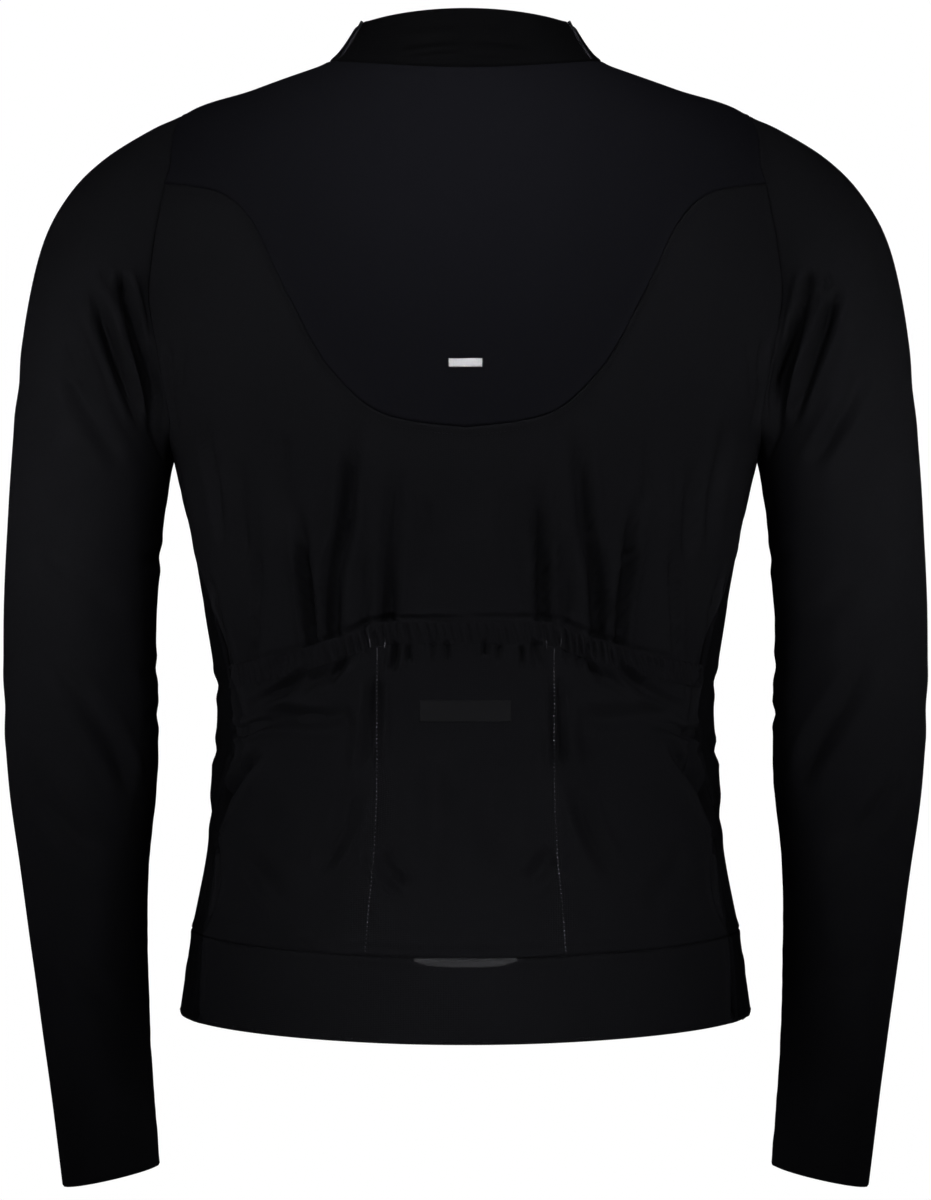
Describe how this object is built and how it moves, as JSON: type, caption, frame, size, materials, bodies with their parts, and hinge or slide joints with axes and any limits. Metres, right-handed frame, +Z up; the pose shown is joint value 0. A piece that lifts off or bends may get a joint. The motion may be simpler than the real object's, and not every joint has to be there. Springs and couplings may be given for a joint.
{
  "type": "cycling jacket",
  "caption": "Long-sleeved stand-collar cycling jacket in worn form, with a front zip, U-shaped back yoke and three rear pockets.",
  "frame": {"origin": "middle of the neck opening, level with the collar seam at the shoulders, where the wearer's shoulders hold the jacket", "axes": "+Z up along the body, +Y to the back, +X to the wearer's left"},
  "size_m": [0.573, 0.2395, 0.73],
  "materials": {
    "windproof_knit": "smooth matt warp knit with a faint sheen",
    "brushed_knit": "matt knit",
    "collar_knit": "matt knit",
    "pale_piping": "corded piping",
    "woven_label": "woven satin",
    "reflective_film": "dark reflective film",
    "zip_tape": "woven tape",
    "zip_teeth": "moulded coil",
    "zip_metal": "black enamel"
  },
  "bodies": {
    "garment": {"back_yoke": "windproof_knit", "back_panel": "brushed_knit", "front_left": "brushed_knit", "front_right": "brushed_knit", "sleeve_left": "brushed_knit", "sleeve_right": "brushed_knit", "hem_back": "brushed_knit", "hem_left": "brushed_knit", "hem_right": "brushed_knit", "pocket_strip": "brushed_knit", "pocket_hem": "brushed_knit", "collar_back": "collar_knit", "collar_left": "collar_knit", "collar_right": "collar_knit", "collar_piping_left": "pale_piping", "collar_piping_right": "pale_piping", "label_patch": "woven_label", "reflective_tab": "reflective_film", "reflective_bar": "reflective_film", "zip_tape_left": "zip_tape", "zip_tape_right": "zip_tape", "zip_teeth": "zip_teeth", "zip_slider": "zip_metal", "zip_stop": "zip_metal"},
    "pull_tab": {"zip_pull": "zip_metal"}
  },
  "joints": [
    {"name": "pull_tab_hinge", "type": "hinge", "parent": "garment", "child": "pull_tab", "pos_m": [0, -0.07263, -0.02421], "axis": [-1, 0, 0], "range_deg": [0, 160]}
  ]
}
